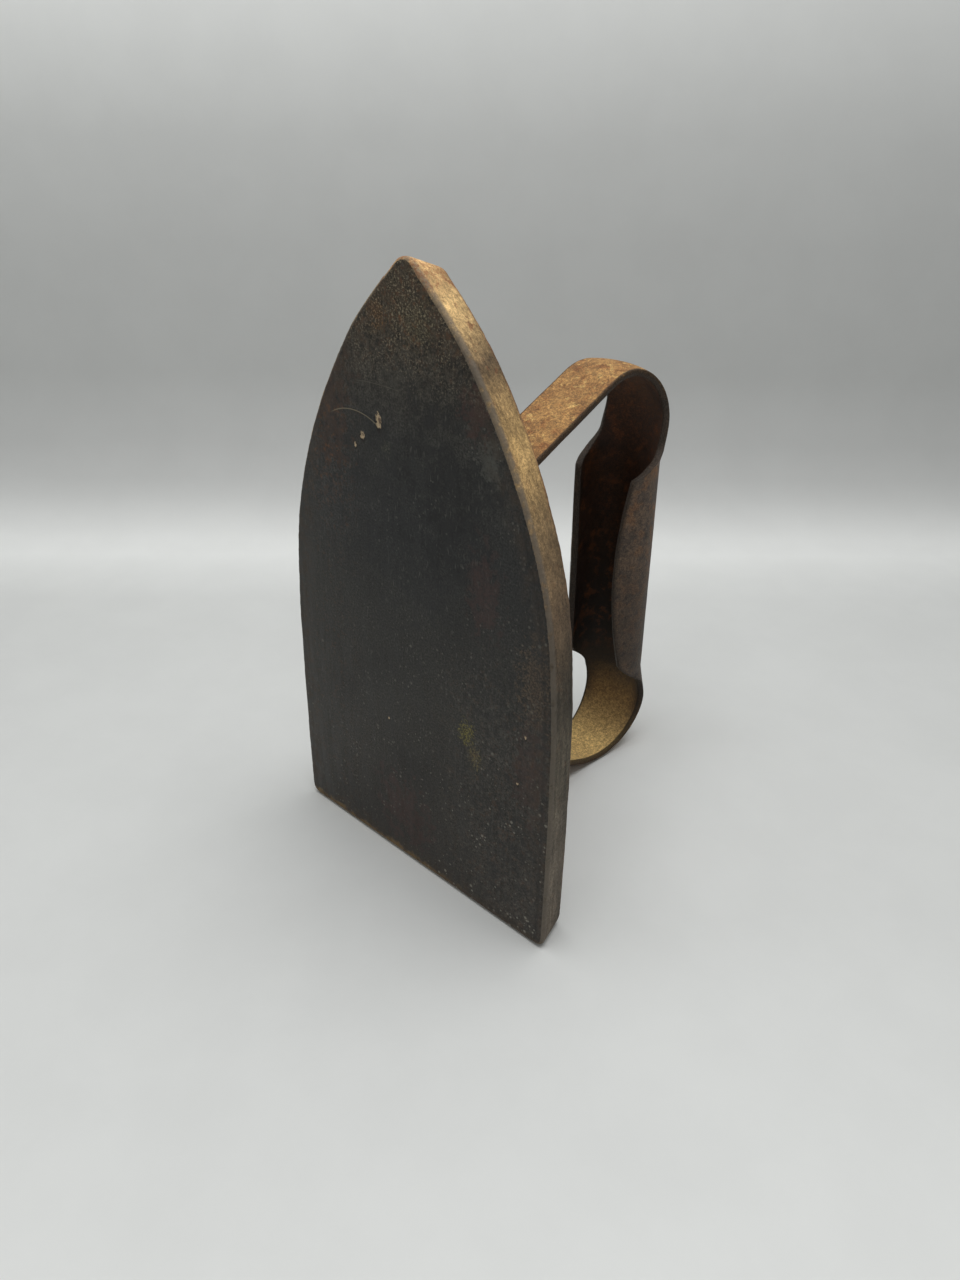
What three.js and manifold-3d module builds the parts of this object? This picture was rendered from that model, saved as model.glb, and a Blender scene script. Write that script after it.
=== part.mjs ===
// An old hand-made clothes iron (sad iron): a flat pointed plate with a sole face, and one strip of
// sheet iron bent into the handle, whose widened middle is curled into a tubular grip.
//
// Millimetres, +Z up. The iron stands as it is put down between uses: on its heel face and on the
// rear bend of the handle, both at z = 0, with the toe up. X runs across the iron and is mirrored at
// x = 0. The sole faces -Y and the handle is on the +Y side. The origin is the middle of the heel face.
import * as THREE from 'three';
import { mergeVertices } from 'three/addons/utils/BufferGeometryUtils.js';
import Module from 'manifold-3d';

const wasm = await Module();
wasm.setup();

// ---- driving dimensions ----
const GAP = 0.3; // clearance left where two pieces touch

// sole plate
const PLATE_LENGTH = 165.8;
const PLATE_THICKNESS = 11;
const PLATE_HALF_WIDTH = 47.8; // at the heel
const SIDE_DRAFT = 2.9; // how far the sides lean in between the sole and the top face
const TOE_RADIUS = 4.2;
const TOE_FLANK = THREE.MathUtils.degToRad(52); // how steeply the sides meet the rounded toe
const HEEL_CORNER = 3;
const SOLE_EDGE_RADIUS = 1;
const TOP_EDGE_BREAK = 0.3;
const SOLE_EDGE_STEPS = 3;
// half-width of the sole at heights above the heel, between the straight flank and the toe
const FLANK = [
  [25, 47.8],
  [50, 47.4],
  [75, 46.4],
  [100, 42.9],
  [124, 34],
  [144, 22.2],
  [155, 13.1],
];
const FLANK_STEPS = 27;
const CORNER_STEPS = 4; // round each heel corner, and round each half of the toe

// handle strip: its side profile is a polygon of corners, each bent to a radius
const STRIP_THICKNESS = 2.2;
const STRIP_HALF_WIDTH = 8.4; // at the legs and feet
const FOOT_LENGTH = 26;
const FOOT_BEND = 5;
const FRONT_LEG_Z = 102.5; // height above the heel at which the front leg meets its foot
const REAR_LEG_Z = 27.7;
const GRIP_TOP = { y: 88.2, z: 140.9, bend: 19.5 }; // where the leg and grip lines cross
const GRIP_BOTTOM = { y: 93.1, bend: 20 };
const REAR_LEG_TURN = { y: 67.2, bend: 24 };

// grip: the strip widens into two wings, curled round to an open tube
const TUBE_RADIUS = 12.4; // outside
const WING_MIDDLE_Z = 67.6;
const WING_HALF_LENGTH = 31.2;
const WING_HALF_WIDTH = 27.6; // measured along the curled sheet, at the middle of the grip
const WING_END_HALF_WIDTH = 24.1;
// beyond a wing: how long its shoulder is and how early it falls (below 1, earlier), the neck's
// half-width and length, and where the curl starts to fade and how slowly
const WING_TOP_END = { shoulder: 9, fall: 0.55, neck: 14.2, neckLength: 31, curlEnd: 3, curlFade: 28 };
const WING_BOTTOM_END = { shoulder: 13, fall: 0.8, neck: 15.2, neckLength: 40, curlEnd: 5.5, curlFade: 28 };
const NECK_EASE = 1.2; // above 1, a neck narrows faster where it leaves the wing

// spacing of the sections drawn along the strip
const SHORTEST_STEP = 1.5;
const LONGEST_STEP = 8;
const TURN_PER_STEP = THREE.MathUtils.degToRad(10);
const ACROSS_STEPS = 12;

// studs: blind studs in the plate, hammered over the feet
const STUD_RADIUS = 2.5;
const STUD_DEPTH = 6;
const STUD_HEAD_RADIUS = 4.6;
const STUD_HEAD_HEIGHT = 2.4;
const STUD_PLACES = [8.5, 19.5]; // along a foot, from its leg
const STUD_SIDES = 24;
const DOME_STEPS = 5;

const SOLE_Y = -PLATE_THICKNESS / 2;
const TOP_Y = PLATE_THICKNESS / 2;
const FOOT_Y = TOP_Y + GAP + STRIP_THICKNESS / 2; // mid-surface of the feet
const SURFACE_Z = STRIP_THICKNESS / 2; // mid-surface of the strip where it rests beside the heel

// ---- materials ----
const IRON = new THREE.MeshStandardMaterial({ color: 0x2b2a2b, roughness: 0.55, metalness: 0.85 });
const RUSTED_SHEET = new THREE.MeshStandardMaterial({ color: 0x6b5238, roughness: 0.85, metalness: 0.4 });
const STUD_IRON = new THREE.MeshStandardMaterial({ color: 0x4a3c30, roughness: 0.75, metalness: 0.6 });

// ---- solids ----

// A closed geometry from rings that all have the same number of points, capped flat at both ends.
function loftRings(rings, capIndex) {
  const ringSize = rings[0].length;
  const positions = rings.flat().flatMap((point) => [point.x, point.y, point.z]);
  const index = [];
  for (let r = 0; r < rings.length - 1; r++) {
    for (let i = 0; i < ringSize; i++) {
      const a = r * ringSize + i;
      const b = r * ringSize + ((i + 1) % ringSize);
      index.push(a, b, b + ringSize, a, b + ringSize, a + ringSize);
    }
  }
  const last = (rings.length - 1) * ringSize;
  for (const [a, b, c] of capIndex) {
    index.push(a, c, b);
    index.push(last + a, last + b, last + c);
  }
  const geometry = new THREE.BufferGeometry();
  geometry.setAttribute('position', new THREE.Float32BufferAttribute(positions, 3));
  geometry.setIndex(index);
  return geometry;
}

function toManifold(geometry) {
  const bare = geometry.clone();
  bare.deleteAttribute('normal');
  bare.deleteAttribute('uv');
  const merged = mergeVertices(bare, 1e-5);
  return new wasm.Manifold(
    new wasm.Mesh({
      numProp: 3,
      vertProperties: new Float32Array(merged.attributes.position.array),
      triVerts: new Uint32Array(merged.index.array),
    }),
  );
}

function fromManifold(solid) {
  const mesh = solid.getMesh();
  const geometry = new THREE.BufferGeometry();
  geometry.setAttribute('position', new THREE.BufferAttribute(new Float32Array(mesh.vertProperties), 3));
  geometry.setIndex(new THREE.BufferAttribute(new Uint32Array(mesh.triVerts), 1));
  geometry.computeVertexNormals();
  return geometry;
}

// Cuts each of the cutters out of a geometry.
function drill(geometry, cutters) {
  let solid = toManifold(geometry);
  for (const cutter of cutters) solid = solid.subtract(toManifold(cutter));
  return fromManifold(solid);
}

// ---- sole plate ----

// The right half of the sole's outline from the heel's middle to the toe's tip, as points (x, z) with
// their outward normals. The heel corner and the toe are arcs, and the flank is a smooth curve. `lean`
// is the way in which a point moves for each millimetre that the sides lean in: the heel face stays
// square, and the toe keeps its radius.
function halfOutline() {
  const points = [];
  const direction = (angle) => new THREE.Vector2(Math.cos(angle), Math.sin(angle));
  const heelCentre = new THREE.Vector2(PLATE_HALF_WIDTH - HEEL_CORNER, HEEL_CORNER);
  const heelLean = new THREE.Vector2(-1, 0);
  for (let i = 0; i <= CORNER_STEPS; i++) {
    const normal = direction((-Math.PI / 2) * (1 - i / CORNER_STEPS));
    points.push({ at: heelCentre.clone().addScaledVector(normal, HEEL_CORNER), normal, lean: heelLean });
  }
  const toeCentre = new THREE.Vector2(0, PLATE_LENGTH - TOE_RADIUS);
  const toeLean = new THREE.Vector2(0, -1 / Math.sin(TOE_FLANK));
  const toeStart = toeCentre.clone().addScaledVector(direction(TOE_FLANK), TOE_RADIUS);
  const flank = new THREE.SplineCurve([
    ...FLANK.map(([z, halfWidth]) => new THREE.Vector2(halfWidth, z)),
    toeStart,
  ]);
  for (let i = 0; i < FLANK_STEPS; i++) {
    const tangent = flank.getTangent(i / FLANK_STEPS);
    const normal = new THREE.Vector2(tangent.y, -tangent.x);
    points.push({ at: flank.getPoint(i / FLANK_STEPS), normal, lean: normal.clone().negate() });
  }
  for (let i = 0; i <= CORNER_STEPS; i++) {
    const normal = direction(THREE.MathUtils.lerp(TOE_FLANK, Math.PI / 2, i / CORNER_STEPS));
    points.push({ at: toeCentre.clone().addScaledVector(normal, TOE_RADIUS), normal, lean: toeLean });
  }
  return points;
}

// One ring of the plate at height y: the sides lean in by `draft`, and the whole outline is drawn in
// by `inset` where an edge is rounded.
function plateRing(outline, y, draft, inset) {
  const place = ({ at, normal, lean }) => {
    const point = at.clone().addScaledVector(lean, draft).addScaledVector(normal, -inset);
    return new THREE.Vector3(Math.max(point.x, 0), y, point.y);
  };
  const right = outline.map(place);
  const left = right
    .slice(0, -1)
    .reverse()
    .map((point) => new THREE.Vector3(-point.x, point.y, point.z));
  return [...right, ...left];
}

function solePlateGeometry() {
  const outline = halfOutline();
  const breakHeight = PLATE_THICKNESS - TOP_EDGE_BREAK;
  const breakDraft = (SIDE_DRAFT * breakHeight) / PLATE_THICKNESS;
  const rings = [
    plateRing(outline, TOP_Y, breakDraft, TOP_EDGE_BREAK),
    plateRing(outline, SOLE_Y + breakHeight, breakDraft, 0),
  ];
  for (let i = SOLE_EDGE_STEPS; i >= 0; i--) {
    const angle = (Math.PI / 2) * (i / SOLE_EDGE_STEPS);
    const inset = SOLE_EDGE_RADIUS * (1 - Math.sin(angle));
    const height = SOLE_EDGE_RADIUS * (1 - Math.cos(angle));
    rings.push(plateRing(outline, SOLE_Y + height, (SIDE_DRAFT * height) / PLATE_THICKNESS, inset));
  }
  const flat = rings[0].map((point) => new THREE.Vector2(point.x, point.z));
  const caps = THREE.ShapeUtils.triangulateShape(flat, []);
  const plate = loftRings(rings, caps);
  return drill(plate, studHoles(TOP_Y - STUD_DEPTH - GAP, TOP_Y + 1));
}

// ---- handle strip ----

// The strip's mid-surface in side view: straight runs joined by bends, from the front foot's end to
// the rear foot's end. In this path x stands for Y and y stands for Z.
function stripPath() {
  const corners = [
    { at: [FOOT_Y, FRONT_LEG_Z - FOOT_LENGTH] },
    { at: [FOOT_Y, FRONT_LEG_Z], bend: FOOT_BEND },
    { at: [GRIP_TOP.y, GRIP_TOP.z], bend: GRIP_TOP.bend },
    { at: [GRIP_BOTTOM.y, SURFACE_Z], bend: GRIP_BOTTOM.bend },
    { at: [REAR_LEG_TURN.y, SURFACE_Z], bend: REAR_LEG_TURN.bend },
    { at: [FOOT_Y, REAR_LEG_Z], bend: FOOT_BEND },
    { at: [FOOT_Y, REAR_LEG_Z + FOOT_LENGTH] },
  ].map(({ at, bend }) => ({ at: new THREE.Vector2(...at), bend }));
  const path = new THREE.Path();
  path.moveTo(corners[0].at.x, corners[0].at.y);
  for (let i = 1; i < corners.length - 1; i++) {
    const { at, bend } = corners[i];
    const before = corners[i - 1].at.clone().sub(at).normalize();
    const after = corners[i + 1].at.clone().sub(at).normalize();
    const halfAngle = Math.acos(before.dot(after)) / 2;
    const middle = before.clone().add(after).normalize();
    const centre = at.clone().addScaledVector(middle, bend / Math.sin(halfAngle));
    const start = at.clone().addScaledVector(before, bend / Math.tan(halfAngle));
    const end = at.clone().addScaledVector(after, bend / Math.tan(halfAngle));
    const clockwise = before.cross(after) > 0;
    path.lineTo(start.x, start.y);
    const startAngle = Math.atan2(start.y - centre.y, start.x - centre.x);
    const endAngle = Math.atan2(end.y - centre.y, end.x - centre.x);
    path.absarc(centre.x, centre.y, bend, startAngle, endAngle, clockwise);
  }
  const tail = corners.at(-1).at;
  path.lineTo(tail.x, tail.y);
  return path;
}

// Half-width of the flat blank at a distance along the strip from the middle of the grip: nearly even
// wings, a rounded shoulder, and a neck that narrows to the strip's own width.
function halfWidthAt(distance) {
  const along = Math.abs(distance);
  const end = distance < 0 ? WING_TOP_END : WING_BOTTOM_END;
  if (along <= WING_HALF_LENGTH) {
    const taper = (along / WING_HALF_LENGTH) ** 2;
    return THREE.MathUtils.lerp(WING_HALF_WIDTH, WING_END_HALF_WIDTH, taper);
  }
  const pastWing = along - WING_HALF_LENGTH;
  const share = Math.min(pastWing / end.shoulder, 1) ** end.fall;
  const shoulder = THREE.MathUtils.smoothstep(share, 0, 1);
  const narrowing = Math.min(pastWing / (end.shoulder + end.neckLength), 1);
  const beyond = THREE.MathUtils.lerp(STRIP_HALF_WIDTH, end.neck, (1 - narrowing) ** NECK_EASE);
  return THREE.MathUtils.lerp(WING_END_HALF_WIDTH, beyond, shoulder);
}

// How tightly the sheet is curled across its width: a full tube in the grip, dying away along the
// bends towards the flat legs.
function curlAt(distance) {
  const end = distance < 0 ? WING_TOP_END : WING_BOTTOM_END;
  const pastTube = Math.abs(distance) - WING_HALF_LENGTH - end.curlEnd;
  return Math.exp(-Math.max(pastTube, 0) / end.curlFade) / (TUBE_RADIUS - STRIP_THICKNESS / 2);
}

// One closed ring round the strip: across the outside from -X to +X, then back across the inside.
function stripRing(origin, tangent, halfWidth, curl) {
  const outward = new THREE.Vector3(0, -tangent.y, tangent.x);
  const ring = [];
  for (const side of [1, -1]) {
    for (let i = 0; i <= ACROSS_STEPS; i++) {
      const across = side * halfWidth * ((2 * i) / ACROSS_STEPS - 1);
      const angle = curl * across;
      const x = Math.sin(angle) / curl;
      const drop = (1 - Math.cos(angle)) / curl;
      const normal = outward.clone().multiplyScalar(Math.cos(angle));
      normal.x = Math.sin(angle);
      const point = new THREE.Vector3(x, origin.x, origin.y);
      point.addScaledVector(outward, -drop);
      ring.push(point.addScaledVector(normal, (side * STRIP_THICKNESS) / 2));
    }
  }
  return ring;
}

// Distances from the middle of the grip at which the strip's section is drawn: close together on the
// shoulders and wherever the path turns quickly, and further apart on its straight runs.
function stationDistances(path, length, middle) {
  const tangentAt = (distance) => {
    const along = THREE.MathUtils.clamp((distance + middle) / length, 0, 1);
    return path.getTangentAt(along);
  };
  const distances = [-middle];
  while (distances.at(-1) < length - middle - SHORTEST_STEP) {
    const last = distances.at(-1);
    const fromShoulder = Math.abs(last) - WING_HALF_LENGTH;
    const onShoulder = fromShoulder > -LONGEST_STEP / 2 && fromShoulder < LONGEST_STEP * 1.5;
    const turn = tangentAt(last).angleTo(tangentAt(last + SHORTEST_STEP)) / SHORTEST_STEP;
    const forTurn = THREE.MathUtils.clamp(TURN_PER_STEP / turn, SHORTEST_STEP, LONGEST_STEP);
    const step = onShoulder ? SHORTEST_STEP : forTurn;
    distances.push(Math.min(last + step, length - middle));
  }
  distances[distances.length - 1] = length - middle;
  return distances;
}

function handleStripGeometry() {
  const path = stripPath();
  const length = path.getLength();
  // the middle of the grip is where the path comes back down to WING_MIDDLE_Z
  let middle = length / 2;
  while (path.getPointAt(middle / length).y > WING_MIDDLE_Z) middle += 0.1;
  while (path.getPointAt(middle / length).y < WING_MIDDLE_Z) middle -= 0.1;
  const rings = stationDistances(path, length, middle).map((distance) => {
    const along = (distance + middle) / length;
    const origin = path.getPointAt(along);
    const tangent = path.getTangentAt(along);
    return stripRing(origin, tangent, halfWidthAt(distance), curlAt(distance));
  });
  const caps = [];
  const ringSize = 2 * (ACROSS_STEPS + 1);
  for (let i = 0; i < ACROSS_STEPS; i++) {
    const back = ringSize - 1 - i;
    caps.push([i, i + 1, back - 1], [i, back - 1, back]);
  }
  return drill(loftRings(rings, caps), studHoles(TOP_Y - 1, FOOT_Y + STRIP_THICKNESS));
}

// ---- studs ----

const STUDS = [
  { name: 'front_stud_upper', z: FRONT_LEG_Z - STUD_PLACES[0] },
  { name: 'front_stud_lower', z: FRONT_LEG_Z - STUD_PLACES[1] },
  { name: 'rear_stud_lower', z: REAR_LEG_Z + STUD_PLACES[0] },
  { name: 'rear_stud_upper', z: REAR_LEG_Z + STUD_PLACES[1] },
];

function studHoles(fromY, toY) {
  return STUDS.map(({ z }) => {
    const radius = STUD_RADIUS + GAP;
    const hole = new THREE.CylinderGeometry(radius, radius, toY - fromY, STUD_SIDES);
    return hole.translate(0, (fromY + toY) / 2, z);
  });
}

// A plain round shank with a hammered dome on top, turned about its own axis.
function studGeometry() {
  const under = FOOT_Y + STRIP_THICKNESS / 2 + GAP;
  const profile = [
    new THREE.Vector2(0, TOP_Y - STUD_DEPTH),
    new THREE.Vector2(STUD_RADIUS, TOP_Y - STUD_DEPTH),
    new THREE.Vector2(STUD_RADIUS, under),
    new THREE.Vector2(STUD_HEAD_RADIUS, under),
  ];
  for (let i = 1; i < DOME_STEPS; i++) {
    const angle = (Math.PI / 2) * (i / DOME_STEPS);
    const radius = STUD_HEAD_RADIUS * Math.cos(angle);
    profile.push(new THREE.Vector2(radius, under + STUD_HEAD_HEIGHT * Math.sin(angle)));
  }
  profile.push(new THREE.Vector2(0, under + STUD_HEAD_HEIGHT));
  return new THREE.LatheGeometry(profile, STUD_SIDES);
}

// ---- assembly ----

function addPiece(group, name, geometry, material) {
  const mesh = new THREE.Mesh(geometry, material.clone());
  mesh.name = name;
  group.add(mesh);
  return mesh;
}

const iron = new THREE.Group();
addPiece(iron, 'sole_plate', solePlateGeometry(), IRON);
addPiece(iron, 'handle_strip', handleStripGeometry(), RUSTED_SHEET);
for (const { name, z } of STUDS) addPiece(iron, name, studGeometry(), STUD_IRON).position.z = z;

export default iron;
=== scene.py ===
"""An old flat iron on its heel: a blackened iron plate and a rusted sheet-iron strip bent and curled
into the handle. Metres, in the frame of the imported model: +Z from heel to toe, the sole facing -Y.
"""

import math

import bmesh
import bpy
import numpy as np
from mathutils import Matrix, Vector, kdtree, noise


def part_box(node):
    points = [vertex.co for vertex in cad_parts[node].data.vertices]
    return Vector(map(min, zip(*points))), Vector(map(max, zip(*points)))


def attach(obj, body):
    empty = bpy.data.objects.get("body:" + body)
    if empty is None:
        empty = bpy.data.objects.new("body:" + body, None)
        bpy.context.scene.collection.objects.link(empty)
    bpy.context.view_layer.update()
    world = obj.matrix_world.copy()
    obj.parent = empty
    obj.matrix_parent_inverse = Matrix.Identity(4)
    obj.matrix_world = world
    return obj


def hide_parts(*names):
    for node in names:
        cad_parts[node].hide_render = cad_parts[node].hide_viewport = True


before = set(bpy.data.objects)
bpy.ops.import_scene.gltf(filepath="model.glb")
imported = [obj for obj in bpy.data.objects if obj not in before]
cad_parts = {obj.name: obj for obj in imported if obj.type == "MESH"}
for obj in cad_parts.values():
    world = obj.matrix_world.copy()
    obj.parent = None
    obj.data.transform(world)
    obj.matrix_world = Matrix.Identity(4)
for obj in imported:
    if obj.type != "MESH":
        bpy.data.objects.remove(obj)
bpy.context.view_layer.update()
MM = 0.001

# ---- sizes, in millimetres ----
PLATE_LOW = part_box("sole_plate")[0] / MM
PLATE_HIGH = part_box("sole_plate")[1] / MM
SOLE_Y = PLATE_LOW.y
TOP_Y = PLATE_HIGH.y
PLATE_VOXEL = 0.5
STUD_VOXEL = 0.22
WELD_DISTANCE = 0.01
# how far the sole sinks at its worn edge by the toe, and how wide that worn edge is
WORN_DEPTH = 0.45
WORN_WIDTH = 2.8
RUST_ROUGHNESS = 0.88

# the handle strip, with the sizes of the CAD strip
GAP = 0.3
STRIP_THICKNESS = 2.2
STRIP_HALF_WIDTH = 8.4
FOOT_LENGTH = 26.0
FOOT_BEND = 5.0
FRONT_LEG_Z = 102.5
REAR_LEG_Z = 27.7
GRIP_TOP = {"at": (88.2, 140.9), "bend": 19.5}
GRIP_BOTTOM = {"y": 93.1, "bend": 20.0}
REAR_LEG_TURN = {"y": 67.2, "bend": 24.0}
TUBE_RADIUS = 12.4
WING_MIDDLE_Z = 67.6
WING_HALF_LENGTH = 31.2
WING_HALF_WIDTH = 27.6
WING_END_HALF_WIDTH = 24.1
WING_TOP_END = {
    "shoulder": 9.0,
    "fall": 0.55,
    "neck": 14.2,
    "neck_length": 31.0,
    "curl_end": 3.0,
    "curl_fade": 28.0,
}
WING_BOTTOM_END = {
    "shoulder": 13.0,
    "fall": 0.8,
    "neck": 15.2,
    "neck_length": 40.0,
    "curl_end": 5.5,
    "curl_fade": 28.0,
}
STATION_STEP = 0.6
ACROSS_STEPS = 56
EDGE_STEPS = 4
EDGE_ROUNDING = 0.5
BEND_STEPS = 40
FLATTEST_CURL = 1e-6

# chips in the sole: middle (x, z), size (x, z), depth
SOLE_CHIPS = [
    ((-9.4, 128.6), (1.9, 3.8), 0.25),
    ((-15.3, 123.9), (1.5, 2.0), 0.18),
    ((-18.0, 121.2), (0.8, 1.4), 0.1),
    ((38.4, 63.8), (0.8, 0.9), 0.1),
    ((36.6, 49.2), (0.7, 0.8), 0.1),
    ((-9.5, 46.2), (0.6, 0.9), 0.1),
]
# pinholes in the sole: how far apart, radius as a share of that, and how large a share is left out
SOLE_PINHOLES = [(1.4, 0.15, 0.6), (2.6, 0.11, 0.6), (6.0, 0.06, 0.55)]
# curved scratches on the sole: centre (x, z), radius, first and last x, thickness, share, colour
SOLE_SCRATCHES = [
    ((-17.8, 112.1), 17.4, (-25.5, -9.5), 0.17, 0.6, (146, 134, 108)),
    ((-8.0, 57.2), 80.0, (-16.5, -2.0), 0.14, 0.3, (110, 104, 90)),
]
# blotches on the sole: middle (x, z), size (x, z), colour, share, size of its grain. Those with a grain
# finer than FINE_GRAIN are speckled, and the others are mottled.
FINE_GRAIN = 1.3
SOLE_PATCHES = [
    ((-2.0, 107.0), (34.0, 44.0), (31, 32, 33), 0.5, 9.0),
    ((14.0, 119.0), (34.0, 44.0), (28, 28, 28), 0.7, 7.0),
    ((-27.0, 133.0), (15.0, 44.0), (66, 47, 37), 0.6, 2.4),
    ((-1.0, 158.0), (22.0, 20.0), (88, 76, 56), 0.7, 1.2),
    ((-9.0, 152.8), (5.0, 6.0), (110, 76, 38), 0.75, 1.0),
    ((4.2, 152.6), (9.0, 8.0), (104, 95, 72), 0.7, 0.9),
    ((21.0, 137.4), (9.0, 12.0), (68, 44, 38), 0.6, 1.8),
    ((25.2, 127.6), (6.0, 9.0), (82, 82, 75), 0.55, 1.6),
    ((-7.0, 122.6), (4.0, 4.0), (80, 78, 66), 0.6, 1.1),
    ((24.5, 96.0), (11.0, 22.0), (66, 46, 42), 0.6, 2.6),
    ((40.5, 79.0), (10.0, 22.0), (100, 82, 62), 0.55, 1.2),
    ((40.0, 54.0), (10.0, 26.0), (64, 46, 40), 0.6, 2.0),
    ((19.6, 55.5), (5.0, 7.0), (116, 108, 52), 0.9, 0.8),
    ((22.6, 49.6), (4.5, 7.0), (104, 92, 54), 0.75, 0.7),
    ((-4.0, 17.0), (22.0, 22.0), (66, 44, 39), 0.6, 3.0),
    ((-3.0, 140.0), (16.0, 8.0), (62, 60, 54), 0.4, 2.2),
]


# ---- small helpers ----
def smoothstep(value, low, high):
    """Smoothly from 0 at `low` to 1 at `high`, which may be the lower number of the two."""
    share = np.clip((value - low) / (high - low), 0.0, 1.0)
    return share * share * (3 - 2 * share)


def lerp(a, b, share):
    return a + (b - a) * share


def relief(points, size, seed, octaves):
    """Smooth noise from about -1 to 1 at each point, with bumps about `size` millimetres across."""
    shift = Vector((17.3 * seed, 5.1 * seed, -9.7 * seed))
    values = [noise.fractal(Vector(p) / size + shift, 1.0, 2.0, octaves) for p in points]
    return np.clip(np.array(values), -1.0, 1.0)


def unevenness(points, size, seed, octaves):
    """The same noise from about 0 to 1."""
    return 0.5 + 0.5 * relief(points, size, seed, octaves)


def link(name, mesh):
    """A new object in the scene."""
    piece = bpy.data.objects.new(name, mesh)
    bpy.context.scene.collection.objects.link(piece)
    return piece


def positions_of(mesh):
    flat = np.zeros(len(mesh.vertices) * 3, np.float32)
    mesh.vertices.foreach_get("co", flat)
    return flat.reshape(-1, 3).astype(float)


def normals_of(mesh):
    flat = np.zeros(len(mesh.vertices) * 3, np.float32)
    mesh.vertices.foreach_get("normal", flat)
    return flat.reshape(-1, 3).astype(float)


def set_positions(mesh, points, node):
    """Moves the mesh's vertices to `points`, in metres, kept within the CAD node's box."""
    low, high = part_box(node)
    points = np.clip(points, np.array(low), np.array(high))
    mesh.vertices.foreach_set("co", points.astype(np.float32).ravel())
    mesh.update()


def add_attribute(mesh, name, values):
    attribute = mesh.attributes.new(name, "FLOAT", "POINT")
    attribute.data.foreach_set("value", np.asarray(values, np.float32))


def shade_smooth(mesh):
    mesh.polygons.foreach_set("use_smooth", np.ones(len(mesh.polygons), bool))
    mesh.update()


def finish_piece(piece, material, slot, *nodes):
    """Gives the piece its material, and sets it in place of the CAD nodes that it stands for."""
    piece.data.materials.clear()
    piece.data.materials.append(material)
    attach(piece, "root")
    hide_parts(*nodes)


def remeshed(name, node, voxel, softening=0):
    """A new piece from a copy of a CAD node's mesh, made of even facets about `voxel` millimetres wide and
    smoothed `softening` times."""
    piece = link(name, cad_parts[node].data.copy())
    weld = piece.modifiers.new("weld", "WELD")
    weld.merge_threshold = WELD_DISTANCE * MM
    remesh = piece.modifiers.new("remesh", "REMESH")
    remesh.mode = "VOXEL"
    remesh.voxel_size = voxel * MM
    if softening:
        soften = piece.modifiers.new("soften", "SMOOTH")
        soften.factor = 0.5
        soften.iterations = softening
    graph = bpy.context.evaluated_depsgraph_get()
    mesh = bpy.data.meshes.new_from_object(piece.evaluated_get(graph))
    piece.modifiers.clear()
    piece.data = mesh
    return piece


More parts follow.
